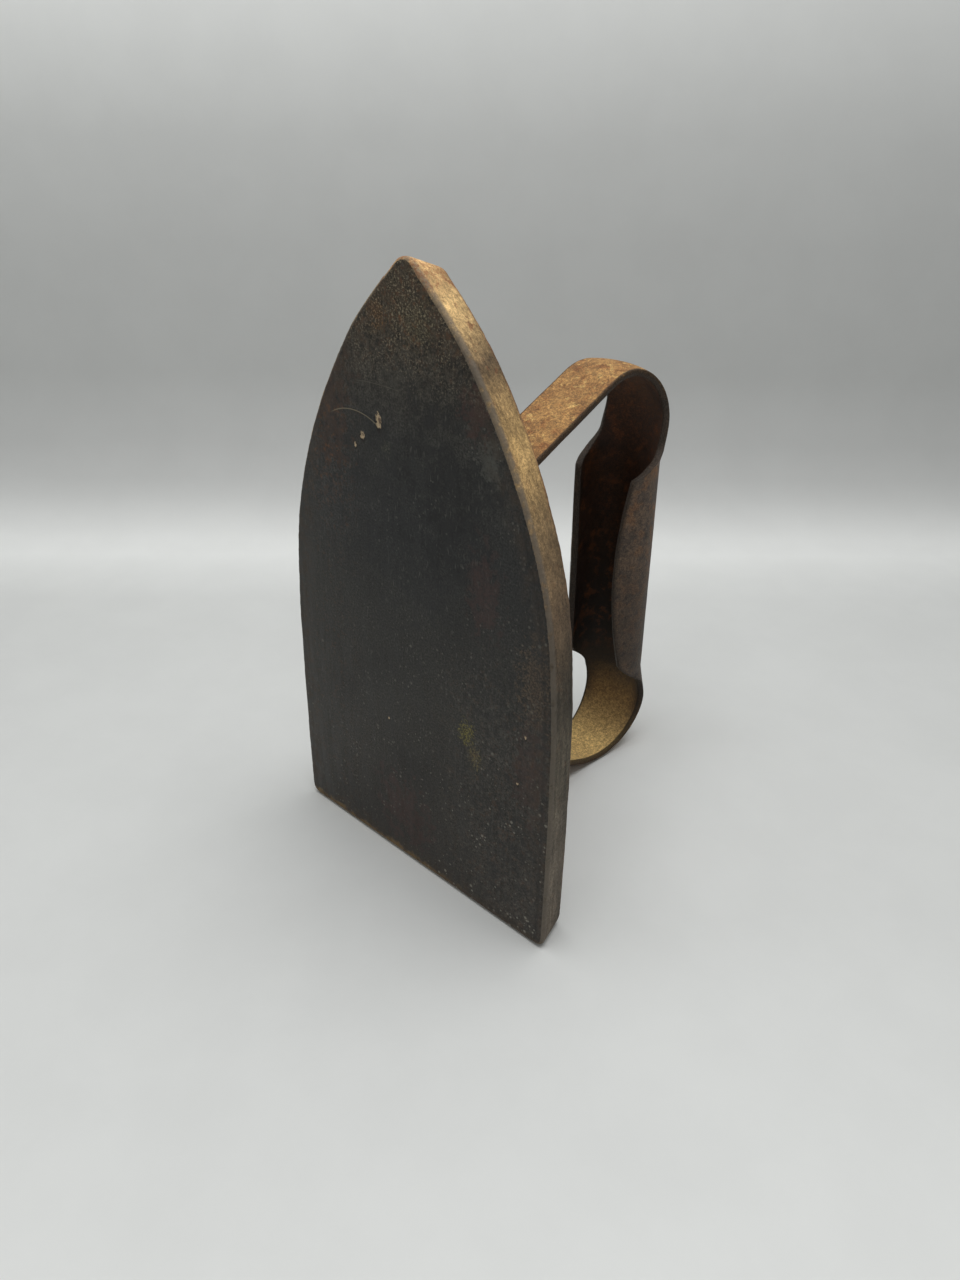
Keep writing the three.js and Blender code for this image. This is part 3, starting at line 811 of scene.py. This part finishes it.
def strip_section(half_width):
    """The sheet's section, flat: (across, through) round its outline, with rounded edges."""
    thin = STRIP_THICKNESS / 2
    flat = half_width - EDGE_ROUNDING
    outline = []
    for side in (1, -1):
        outline += [(side * flat * (2 * i / ACROSS_STEPS - 1), side * thin) for i in range(ACROSS_STEPS + 1)]
        for i in range(1, EDGE_STEPS + 1):
            angle = math.pi / 2 * i / (EDGE_STEPS + 1)
            across = flat + EDGE_ROUNDING * math.sin(angle)
            outline.append((side * across, side * (thin - EDGE_ROUNDING * (1 - math.cos(angle)))))
        for i in range(1, EDGE_STEPS + 1):
            angle = math.pi / 2 * i / (EDGE_STEPS + 1)
            across = flat + EDGE_ROUNDING * math.cos(angle)
            outline.append((side * across, side * (EDGE_ROUNDING * (1 - math.sin(angle)) - thin)))
    return np.array(outline)


def strip_ring(section, origin, tangent, curl):
    """The flat section set at a place on the path and curled round, towards the plate."""
    angle = curl * section[:, 0]
    outward = np.array([0.0, -tangent[1], tangent[0]])
    normals = np.cos(angle)[:, None] * outward
    normals[:, 0] = np.sin(angle)
    drop = (1 - np.cos(angle)) / curl
    ring = np.array([0.0, *origin]) - drop[:, None] * outward
    ring[:, 0] = np.sin(angle) / curl
    return ring + normals * section[:, 1:2]


def ring_marks(section, half_width, distance):
    """What the material needs to know round one ring, by the attribute's name."""
    from_middle = np.abs(section[:, 0])
    inside = smoothstep(section[:, 1], 0.5, -0.5)
    held_outside = float(smoothstep(abs(distance), 64.0, 44.0))
    held_inside = float(smoothstep(-distance, 112.0, 84.0) * smoothstep(distance, 62.0, 36.0))
    return {
        "inside": inside,
        "rim": smoothstep(from_middle, half_width - 0.9, half_width - 0.4),
        # the band inside each rim that gets painted shade
        "rim_shade_band": smoothstep(from_middle, half_width - 5.5, half_width - 0.9),
        "handled": lerp(held_outside, held_inside, inside),
        "from_grip": np.full(len(section), distance),
    }


def ring_faces(count, size):
    """Faces that join `count` rings of `size` points each, and close the two ends."""
    faces = []
    for r in range(count - 1):
        for i in range(size):
            j = (i + 1) % size
            faces.append((r * size + i, r * size + j, (r + 1) * size + j, (r + 1) * size + i))
    faces.append(tuple(range(size))[::-1])
    faces.append(tuple((count - 1) * size + i for i in range(size)))
    return faces


def make_strip():
    """The strip, swept along its side view as rings of its section, each curled by its own amount."""
    rings, marks = [], []
    for origin, tangent, distance in zip(*bent_path()):
        half_width = half_width_at(distance)
        section = strip_section(half_width)
        rings.append(strip_ring(section, origin, tangent, max(curl_at(distance), FLATTEST_CURL)))
        marks.append(ring_marks(section, half_width, distance))
    mesh = bpy.data.meshes.new("strip")
    faces = ring_faces(len(rings), len(rings[0]))
    mesh.from_pydata((np.concatenate(rings) * MM).tolist(), [], faces)
    mesh.update()
    for name in marks[0]:
        add_attribute(mesh, name, np.concatenate([ring[name] for ring in marks]))
    points = positions_of(mesh) / MM
    normals = normals_of(mesh)
    sink = 0.05 * unevenness(points, 1.1, 5, 3) + 0.12 * unevenness(points, 11.0, 6, 3)
    set_positions(mesh, (points - normals * sink[:, None]) * MM, "handle_strip")
    shade_smooth(mesh)
    finish_piece(link("strip", mesh), strip_material(), "rusted_sheet", "handle_strip")


# ---- studs ----
def make_studs():
    """The CAD studs remeshed finely, with heads that a hammer has left uneven."""
    material = stud_material()
    foot_top = TOP_Y + GAP + STRIP_THICKNESS
    for name in sorted(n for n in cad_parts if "stud" in n):
        piece = remeshed("hammered_" + name, name, STUD_VOXEL)
        mesh = piece.data
        points = positions_of(mesh) / MM
        normals = normals_of(mesh)
        head = smoothstep(points[:, 1], foot_top, foot_top + 1)
        sink = head * (0.35 * unevenness(points, 3.2, 8, 1) + 0.08 * unevenness(points, 0.9, 9, 3))
        set_positions(mesh, (points - normals * sink[:, None]) * MM, name)
        shade_smooth(mesh)
        finish_piece(piece, material, "stud_iron", name)


# ---- studio, in metres, with the lens and the sensor in millimetres ----
CAMERA_AZIMUTH = math.radians(42.48)
CAMERA_ELEVATION = math.radians(30.13)
CAMERA_ROLL = math.radians(1.11)
CAMERA_TARGET = Vector((0.0235, -0.0055, 0.0842))
CAMERA_DISTANCE = 0.2231
CAMERA_LENS = 27.03
CAMERA_SENSOR = 36
CAMERA_CLIP_START = 0.005
SWEEP_AZIMUTH = CAMERA_AZIMUTH + math.radians(2.2)
SWEEP_DISTANCE = 0.20
SWEEP_RADIUS = 0.07
SWEEP_HALF_WIDTH = 2.0
SWEEP_BEND_STEPS = 32
ROOM_COLOUR = (0.99, 1.0, 0.985, 1)
ROOM_STRENGTH = 0.3
# soft lamps: name, place, the point that they face, size (wide, deep) and watts
LAMPS = [
    ("overhead", (0.05, 0.0, 0.62), (0.0, 0.04, 0.0), (0.5, 0.35), 2.6),
    ("fill", (-0.55, -0.5, 0.35), (0.0, 0.0, 0.07), (0.4, 0.4), 0.4),
]
# painted light and shade on the paper: how pale it is painted at places along the sweep, in millimetres from
# below the iron. The floor is painted paler towards the camera, the bend gets a painted bright band with
# painted shade just above it, and the wall is painted paler higher up
PAPER_PAINTED_LIGHT = [
    (-300.0, 0.8),
    (-120.0, 0.76),
    (-80.0, 0.715),
    (-25.0, 0.68),
    (60.0, 0.67),
    (130.0, 0.675),
    (160.0, 0.7),
    (205.0, 0.85),
    (219.0, 0.81),
    (234.0, 0.69),
    (246.0, 0.585),
    (256.0, 0.525),
    (275.0, 0.485),
    (310.0, 0.5),
    (370.0, 0.51),
    (415.0, 0.57),
    (440.0, 0.65),
    (470.0, 0.75),
]


def make_camera():
    """A camera above and to the right of the sole, looking down at the iron."""
    back = Vector(
        (
            math.sin(CAMERA_AZIMUTH) * math.cos(CAMERA_ELEVATION),
            -math.cos(CAMERA_AZIMUTH) * math.cos(CAMERA_ELEVATION),
            math.sin(CAMERA_ELEVATION),
        )
    )
    level = Vector((0, 0, 1)).cross(back).normalized()
    upright = back.cross(level)
    right = math.cos(CAMERA_ROLL) * level + math.sin(CAMERA_ROLL) * upright
    up = back.cross(right)
    turn = Matrix((right, up, back)).transposed().to_4x4()

    data = bpy.data.cameras.new("camera")
    data.lens = CAMERA_LENS
    data.sensor_width = CAMERA_SENSOR
    data.clip_start = CAMERA_CLIP_START
    camera = bpy.data.objects.new("camera", data)
    camera.matrix_world = Matrix.Translation(CAMERA_TARGET + back * CAMERA_DISTANCE) @ turn
    bpy.context.scene.collection.objects.link(camera)
    bpy.context.scene.camera = camera


def sweep_profile():
    """The sweep in side view, (reach, height): floor, then a round bend up into a wall."""
    wall = SWEEP_DISTANCE + SWEEP_RADIUS
    profile = [(-2.5, 0.0), (-1.5, 0.0), (-1.0, 0.0)]
    profile += [(reach * 0.01, 0.0) for reach in range(-50, 21)]
    for i in range(1, SWEEP_BEND_STEPS + 1):
        angle = math.pi / 2 * i / SWEEP_BEND_STEPS
        reach = SWEEP_DISTANCE + SWEEP_RADIUS * math.sin(angle)
        profile.append((reach, SWEEP_RADIUS * (1 - math.cos(angle))))
    return profile + [(wall, SWEEP_RADIUS + 0.01 * step) for step in range(1, 50)]


def sweep_mesh():
    away = Vector((-math.sin(SWEEP_AZIMUTH), math.cos(SWEEP_AZIMUTH), 0))
    aside = Vector((math.cos(SWEEP_AZIMUTH), math.sin(SWEEP_AZIMUTH), 0))
    profile = sweep_profile()
    build = bmesh.new()
    rows = []
    sides = (-SWEEP_HALF_WIDTH, SWEEP_HALF_WIDTH)
    for reach, height in profile:
        rows.append([build.verts.new(away * reach + aside * side + Vector((0, 0, height))) for side in sides])
    for low, high in zip(rows, rows[1:]):
        build.faces.new((low[0], low[1], high[1], high[0]))
    mesh = bpy.data.meshes.new("sweep")
    build.to_mesh(mesh)
    build.free()
    shade_smooth(mesh)
    steps = [math.hypot(b[0] - a[0], b[1] - a[1]) for a, b in zip(profile, profile[1:])]
    along = np.concatenate([[0.0], np.cumsum(steps)]) + profile[0][0]
    add_attribute(mesh, "along", np.repeat(along / MM, 2))
    add_attribute(mesh, "aside", np.tile([side / MM for side in sides], len(profile)))
    return mesh


def paper_material():
    """Matt paper, seen from its front only, painted with light and shade: a painted bright band at the foot
    of the bend, painted shade darkest just above the bend, and the wall painted lighter on its left.
    """
    nodes = Nodes("paper")
    along = nodes.attribute("along")
    paper = nodes.tones(along, [(place, (level * 0.985, level, level * 0.985, 1)) for place, level in PAPER_PAINTED_LIGHT])
    # painted side light: the wall is painted lighter on its left and darker on its right, more so higher up
    painted_side_light = nodes.ramp(along, 150.0, 260.0, 0.0, 0.035)
    painted_side_light = nodes.math("ADD", painted_side_light, nodes.ramp(along, 340.0, 520.0, 0.0, 0.12))
    leftward = nodes.ramp(nodes.attribute("aside"), -400.0, 400.0, 1.25, -1.25)
    paper = nodes.times(paper, nodes.math("ADD", nodes.product(leftward, painted_side_light), 1.0))
    nodes.set("Base Color", nodes.contrast(paper, nodes.noise(30.0, 5.0, 0.6), 0.3, 0.7, 0.985, 1.015))
    nodes.set("Roughness", 0.6)
    nodes.set("Specular IOR Level", 0.25)
    links = nodes.tree.links
    sides = nodes.add("ShaderNodeNewGeometry")
    clear = nodes.add("ShaderNodeBsdfTransparent")
    either = nodes.add("ShaderNodeMixShader")
    links.new(sides.outputs["Backfacing"], either.inputs[0])
    links.new(nodes.shader.outputs[0], either.inputs[1])
    links.new(clear.outputs[0], either.inputs[2])
    links.new(either.outputs[0], nodes.tree.nodes["Material Output"].inputs["Surface"])
    return nodes.material


def make_sweep():
    """A pale paper sweep under and behind the iron."""
    mesh = sweep_mesh()
    mesh.materials.append(paper_material())
    link("sweep", mesh)


def make_lights():
    """A dim even room, a large soft lamp overhead and a weak one on the left."""
    world = bpy.data.worlds.new("room")
    world.use_nodes = True
    background = world.node_tree.nodes["Background"]
    background.inputs["Color"].default_value = ROOM_COLOUR
    background.inputs["Strength"].default_value = ROOM_STRENGTH
    bpy.context.scene.world = world
    for name, place, aim, size, watts in LAMPS:
        data = bpy.data.lights.new(name, "AREA")
        data.shape = "RECTANGLE"
        data.size, data.size_y = size
        data.energy = watts
        lamp = bpy.data.objects.new(name, data)
        lamp.location = place
        lamp.rotation_euler = (Vector(place) - Vector(aim)).to_track_quat("Z", "Y").to_euler()
        bpy.context.scene.collection.objects.link(lamp)
    bpy.context.scene.view_settings.view_transform = "Standard"


make_camera()
make_sweep()
make_lights()
make_plate()
make_strip()
make_studs()
